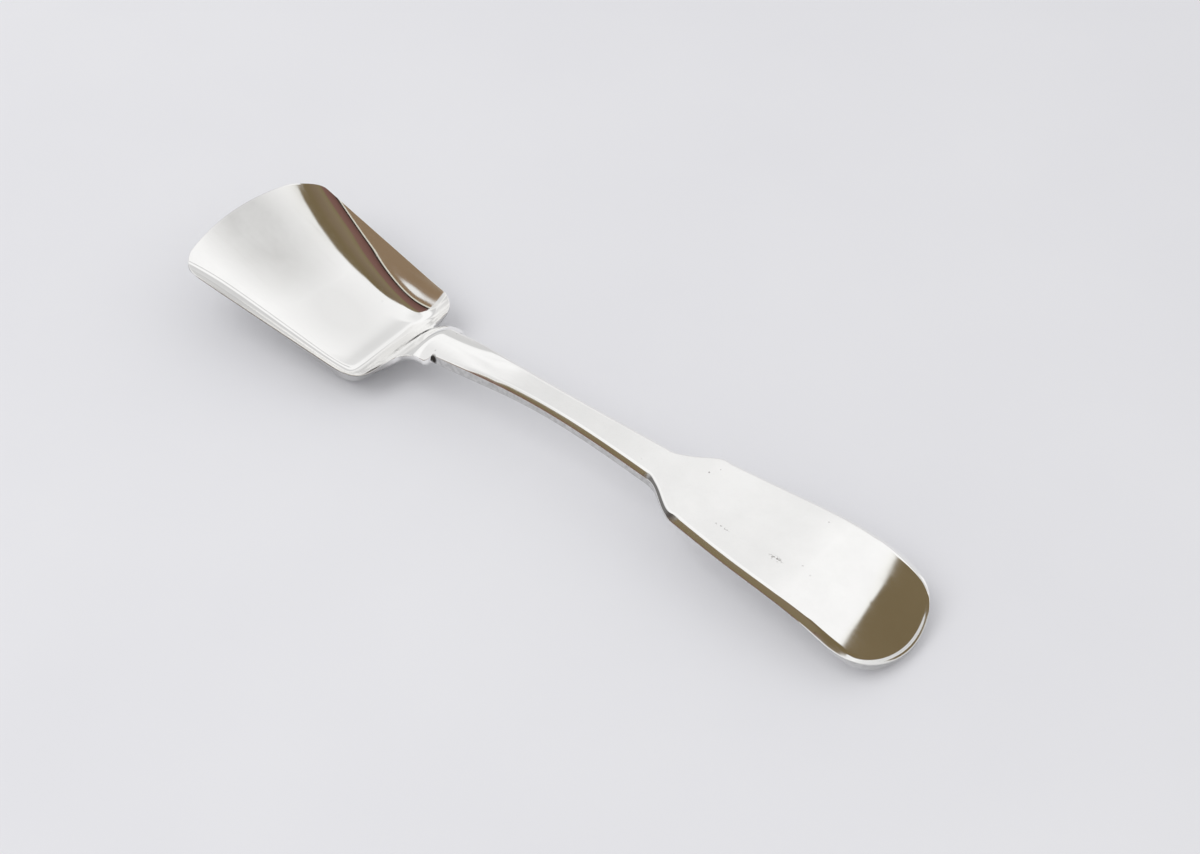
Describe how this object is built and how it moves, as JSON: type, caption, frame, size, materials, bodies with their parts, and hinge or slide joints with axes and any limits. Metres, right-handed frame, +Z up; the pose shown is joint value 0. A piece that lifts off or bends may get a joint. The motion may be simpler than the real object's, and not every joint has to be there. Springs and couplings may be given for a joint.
{
  "type": "sugar spoon",
  "caption": "Polished silver sugar spoon with an open-fronted shovel-shaped bowl, an arched stem and a broad fiddle-shaped handle end turned down at the tip.",
  "frame": {"origin": "on the table, at the middle of the spoon's length and width", "axes": "+X along the spoon from the bowl's lip to the handle's tip, +Y across it, +Z up from the table it lies on"},
  "size_m": [0.13, 0.0286, 0.0125],
  "materials": {
    "bowl_silver": "polished silver with fine scratches and a few pits",
    "handle_silver": "polished silver with fine scratches and worn specks",
    "hard_solder": "silver solder, slightly yellower and duller than the silver"
  },
  "bodies": {
    "root": {"bowl": "bowl_silver", "handle": "handle_silver", "solder_seam": "hard_solder"}
  },
  "joints": []
}
